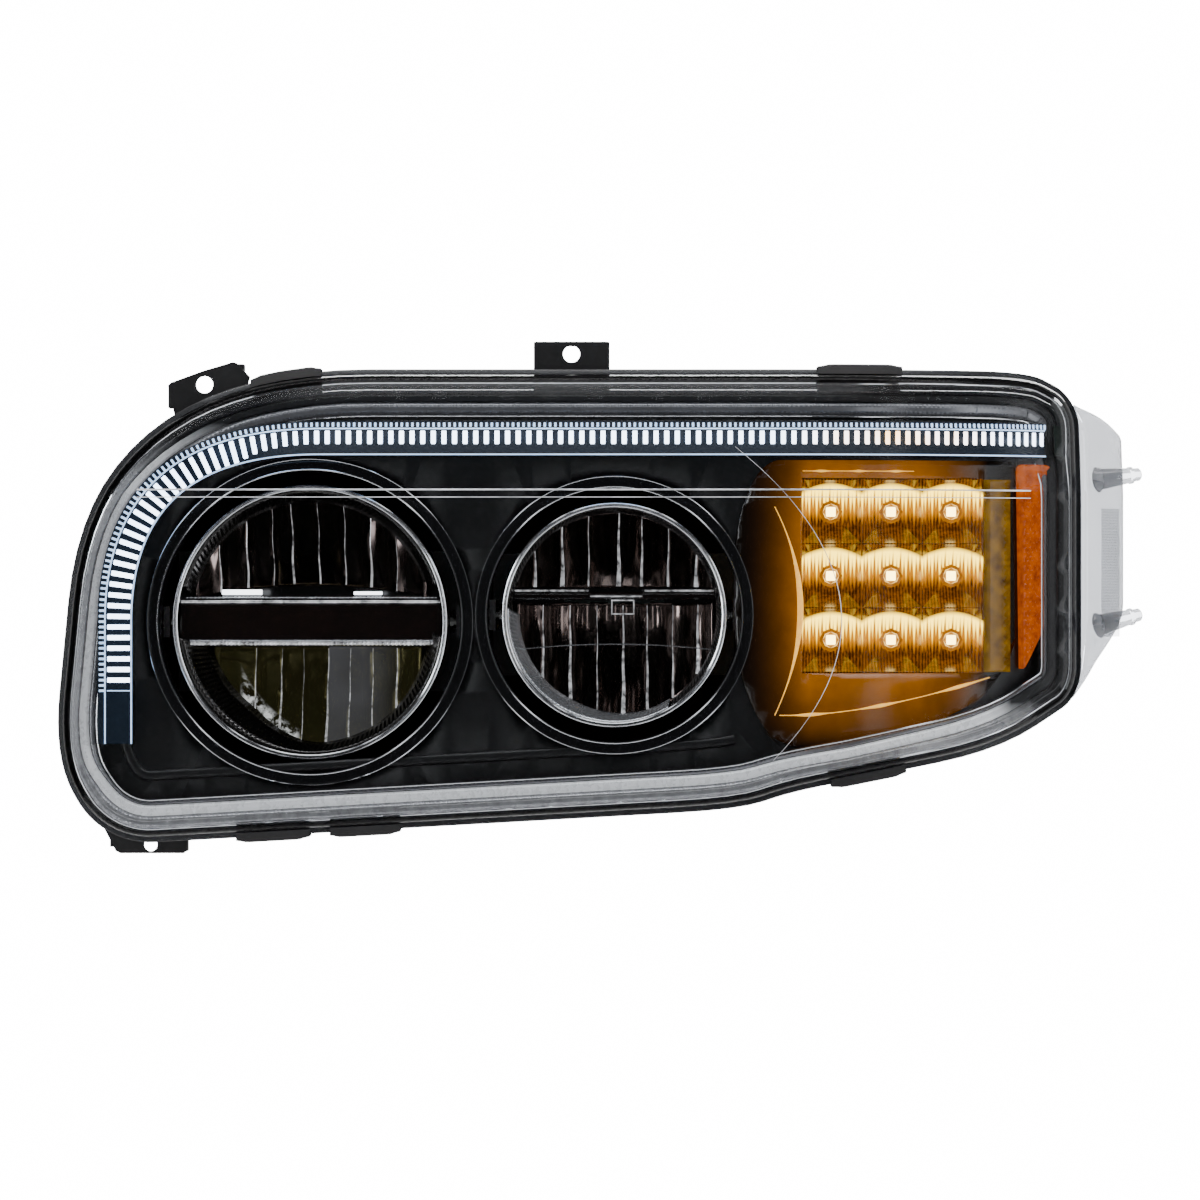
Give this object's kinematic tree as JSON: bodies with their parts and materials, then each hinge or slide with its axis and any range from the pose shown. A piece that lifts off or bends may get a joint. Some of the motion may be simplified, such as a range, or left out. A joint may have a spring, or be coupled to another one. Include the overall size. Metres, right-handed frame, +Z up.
{
  "type": "car headlight assembly",
  "caption": "Left-hand wraparound LED headlight with low and high beam lamps, running-light guide, amber turn signal and side reflector in a black housing.",
  "frame": {"origin": "centre of the assembly's bounding box", "axes": "+X towards the outboard (wrapped) end, -Y forwards along the beams, +Z up"},
  "size_m": [0.7022, 0.26, 0.33],
  "materials": {
    "satin_black": "fine satin moulding",
    "gloss_black": "high gloss",
    "clear_lens": "clear polycarbonate",
    "smoked_chrome": "dark vacuum-metallised",
    "bright_chrome": "polished",
    "aluminium": "cast and machined",
    "steel": "zinc plated",
    "rubber": "matt",
    "circuit_board": "solder mask",
    "light_guide": "clear ribbed acrylic",
    "amber": "amber tinted",
    "white_plastic": "moulded"
  },
  "bodies": {
    "lamp_body": {"housing": "satin_black", "bezel": "satin_black", "signal_tray": "satin_black", "lens_clip_1": "satin_black", "lens_clip_2": "satin_black", "lens_clip_3": "satin_black", "lens_clip_4": "satin_black", "lens_clip_5": "satin_black", "outer_lens": "clear_lens", "lens_seal": "rubber", "breather_vent_inboard": "rubber", "breather_vent_outboard": "rubber", "running_light_guide": "light_guide", "running_light_backing": "white_plastic", "running_light_board": "circuit_board", "signal_led_board": "circuit_board", "signal_reflector": "amber", "side_reflector": "amber", "main_connector": "gloss_black", "signal_connector": "gloss_black", "led_driver": "aluminium", "low_well_ring": "gloss_black", "low_yoke": "aluminium", "low_adjuster_bush": "white_plastic", "high_well_ring": "gloss_black", "high_yoke": "aluminium", "high_adjuster_bush": "white_plastic"},
    "low_module": {"low_carrier": "gloss_black", "low_trim_ring": "bright_chrome", "low_upper_reflector": "smoked_chrome", "low_lower_reflector": "smoked_chrome", "low_shelf": "gloss_black", "low_led_board_upper": "circuit_board", "low_led_board_lower": "circuit_board", "low_heat_sink": "aluminium", "low_aim_socket": "white_plastic", "low_pivot_pin_inboard": "steel", "low_pivot_pin_outboard": "steel"},
    "low_stud": {"low_aim_stud": "steel"},
    "low_knob": {"low_adjuster_knob": "gloss_black"},
    "low_cap": {"low_rear_cap": "satin_black", "low_cap_seal": "rubber"},
    "high_module": {"high_carrier": "gloss_black", "high_trim_ring": "bright_chrome", "high_upper_reflector": "smoked_chrome", "high_lower_reflector": "smoked_chrome", "high_shelf": "gloss_black", "high_led_board_lower": "circuit_board", "high_heat_sink": "aluminium", "high_aim_socket": "white_plastic", "high_pivot_pin_inboard": "steel", "high_pivot_pin_outboard": "steel"},
    "high_stud": {"high_aim_stud": "steel"},
    "high_knob": {"high_adjuster_knob": "gloss_black"},
    "high_cap": {"high_rear_cap": "satin_black", "high_cap_seal": "rubber"}
  },
  "joints": [
    {"name": "low_tilt", "type": "hinge", "parent": "lamp_body", "child": "low_module", "pos_m": [-0.1885, -0.03, -0.016], "axis": [1, 0, 0], "range_deg": [-3, 3]},
    {"name": "low_stud_slide", "type": "slide", "parent": "lamp_body", "child": "low_stud", "axis": [0, 1, 0], "range_m": [-0.0036, 0.0036]},
    {"name": "low_knob_turn", "type": "hinge", "parent": "lamp_body", "child": "low_knob", "pos_m": [-0.1885, 0.118, 0.04912], "axis": [0, 1, 0], "range_deg": [-411, 411]},
    {"name": "low_cap_twist", "type": "hinge", "parent": "lamp_body", "child": "low_cap", "pos_m": [-0.1885, 0.118, -0.016], "axis": [0, 1, 0], "range_deg": [0, 25]},
    {"name": "high_tilt", "type": "hinge", "parent": "lamp_body", "child": "high_module", "pos_m": [0.007, -0.03, -0.0115], "axis": [1, 0, 0], "range_deg": [-3, 3]},
    {"name": "high_stud_slide", "type": "slide", "parent": "lamp_body", "child": "high_stud", "axis": [0, 1, 0], "range_m": [-0.0029, 0.0029]},
    {"name": "high_knob_turn", "type": "hinge", "parent": "lamp_body", "child": "high_knob", "pos_m": [0.007, 0.118, 0.04178], "axis": [0, 1, 0], "range_deg": [-336, 336]},
    {"name": "high_cap_twist", "type": "hinge", "parent": "lamp_body", "child": "high_cap", "pos_m": [0.007, 0.118, -0.0115], "axis": [0, 1, 0], "range_deg": [0, 25]}
  ],
  "couplings": [
    {"joint": "low_stud_slide", "follows": "low_tilt", "m_per_rad": -0.06512},
    {"joint": "low_knob_turn", "follows": "low_tilt", "ratio": -136.39},
    {"joint": "high_stud_slide", "follows": "high_tilt", "m_per_rad": -0.05328},
    {"joint": "high_knob_turn", "follows": "high_tilt", "ratio": -111.59}
  ]
}
